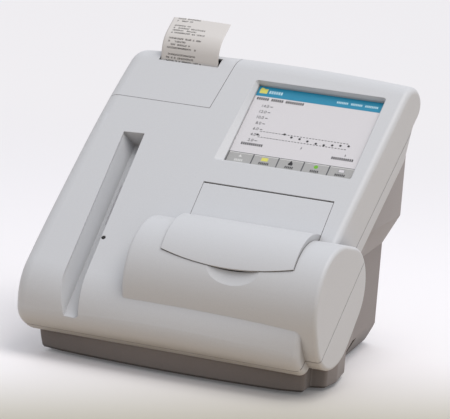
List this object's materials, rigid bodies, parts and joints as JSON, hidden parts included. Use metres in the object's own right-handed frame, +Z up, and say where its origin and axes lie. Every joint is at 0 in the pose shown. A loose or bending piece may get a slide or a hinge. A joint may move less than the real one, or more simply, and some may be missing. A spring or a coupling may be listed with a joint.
{
  "type": "immunoassay analyzer",
  "caption": "Bench-top immunoassay analyzer with an inclined touch screen, a curved cartridge compartment door, a barcode track and a strip printer.",
  "frame": {"origin": "centre of the analyzer's footprint, at the height of the surface it stands on", "axes": "+Z up, +Y towards the rear, -Y towards the user, +X to the user's right"},
  "size_m": [0.287, 0.2769, 0.2834],
  "materials": {
    "white_shell": "cool near-white moulded plastic, fine texture",
    "grey_shell": "mid grey moulded plastic, fine texture",
    "dark_plastic": "black plastic",
    "inner_plastic": "light grey moulded inner parts",
    "glass_panel": "clear touch panel",
    "display": "lit display",
    "board_green": "solder-masked board",
    "dark_window": "dark red scan window",
    "steel": "bright steel",
    "aluminium": "anodised aluminium",
    "rubber": "matt rubber",
    "paper": "thermal paper",
    "cardboard": "paper core",
    "white_gear": "acetal",
    "clear_lens": "clear",
    "blue_lever": "blue plastic",
    "foam": "open foam",
    "label": "blank plate"
  },
  "bodies": {
    "housing": {"front_shell": "white_shell", "rear_shell": "white_shell", "base_tray": "grey_shell", "rear_housing": "grey_shell", "door_hinge_pins": "steel", "lid_pivot_pins": "steel", "touch_panel": "glass_panel", "lcd_module": "display", "main_board": "board_green", "barcode_window": "dark_window", "barcode_reader": "dark_plastic", "status_lens": "clear_lens", "cartridge_bay": "inner_plastic", "motor_bracket": "aluminium", "drive_motor": "steel", "bay_heater": "dark_plastic", "optics_block": "aluminium", "collimator_lens": "clear_lens", "source_lamp": "steel", "detector_board": "board_green", "printer_bay": "inner_plastic", "roll_spindle": "inner_plastic", "paper_motor": "steel", "print_head": "aluminium", "paper_strip": "paper", "chassis": "steel", "power_supply": "aluminium", "speaker": "dark_plastic", "fan_frame": "dark_plastic", "io_board": "board_green", "power_inlet": "dark_plastic", "power_switch": "dark_plastic", "rubber_feet": "rubber", "case_screws": "steel", "rating_plate": "label", "ethernet_port": "steel", "serial_port": "steel", "usb_port": "steel"},
    "cartridge_door": {"cartridge_door": "white_shell"},
    "printer_cover": {"printer_cover": "white_shell"},
    "carrier": {"cartridge_carrier": "dark_plastic", "carrier_shaft": "steel", "carrier_gear": "white_gear"},
    "drive_pinion": {"drive_pinion": "steel"},
    "release_tab": {"release_tab": "blue_lever"},
    "paper_roll": {"paper_roll": "paper", "roll_core": "cardboard"},
    "platen": {"platen_roller": "rubber", "platen_shaft": "steel", "platen_gear": "white_gear"},
    "paper_pinion": {"paper_pinion": "steel"},
    "head_lever": {"head_lever": "blue_lever"},
    "filter_drawer": {"filter_drawer": "grey_shell", "filter_foam": "foam"},
    "fan_rotor": {"fan_rotor": "dark_plastic"},
    "rocker_switch": {"rocker_switch": "dark_plastic"}
  },
  "joints": [
    {"name": "cartridge_door_hinge", "type": "hinge", "parent": "housing", "child": "cartridge_door", "pos_m": [0.05, -0.03603, 0.15515], "axis": [-1, 0, 0], "range_deg": [0, 75]},
    {"name": "printer_cover_hinge", "type": "hinge", "parent": "housing", "child": "printer_cover", "pos_m": [-0.0785, 0.08445, 0.24141], "axis": [-1, 0, 0], "range_deg": [0, 55], "deforming": ["paper_strip"]},
    {"name": "carrier_spin", "type": "hinge", "parent": "housing", "child": "carrier", "pos_m": [0.05, -0.0845, 0.0805], "axis": [1, 0, 0], "continuous": true},
    {"name": "drive_pinion_spin", "type": "hinge", "parent": "housing", "child": "drive_pinion", "pos_m": [-0.011, -0.0565, 0.0805], "axis": [1, 0, 0], "continuous": true},
    {"name": "release_tab_press", "type": "slide", "parent": "housing", "child": "release_tab", "axis": [0, 0, -1], "range_m": [0, 0.003], "stiffness_N_per_m": 400, "springref_m": -0.001},
    {"name": "paper_roll_spin", "type": "hinge", "parent": "housing", "child": "paper_roll", "pos_m": [-0.0785, 0.0635, 0.205], "axis": [1, 0, 0], "continuous": true},
    {"name": "platen_spin", "type": "hinge", "parent": "housing", "child": "platen", "pos_m": [-0.0785, 0.0673, 0.235], "axis": [1, 0, 0], "continuous": true},
    {"name": "paper_pinion_spin", "type": "hinge", "parent": "housing", "child": "paper_pinion", "pos_m": [-0.115, 0.07487, 0.22674], "axis": [1, 0, 0], "continuous": true},
    {"name": "head_lever_lift", "type": "hinge", "parent": "housing", "child": "head_lever", "pos_m": [-0.0428, 0.06295, 0.22713], "axis": [-1, 0, 0], "range_deg": [0, 35]},
    {"name": "filter_drawer_slide", "type": "slide", "parent": "housing", "child": "filter_drawer", "axis": [0, 1, 0], "range_m": [0, 0.055]},
    {"name": "fan_spin", "type": "hinge", "parent": "housing", "child": "fan_rotor", "pos_m": [-0.042, 0.125, 0.142], "axis": [0, 1, 0], "continuous": true},
    {"name": "rocker_switch_tilt", "type": "hinge", "parent": "housing", "child": "rocker_switch", "pos_m": [0.016, 0.1341, 0.039], "axis": [-1, 0, 0], "range_deg": [0, 14]}
  ],
  "couplings": [
    {"joint": "drive_pinion_spin", "follows": "carrier_spin", "ratio": -3.6667},
    {"joint": "paper_pinion_spin", "follows": "platen_spin", "ratio": -1.8},
    {"joint": "paper_roll_spin", "follows": "platen_spin", "ratio": -0.26316}
  ]
}
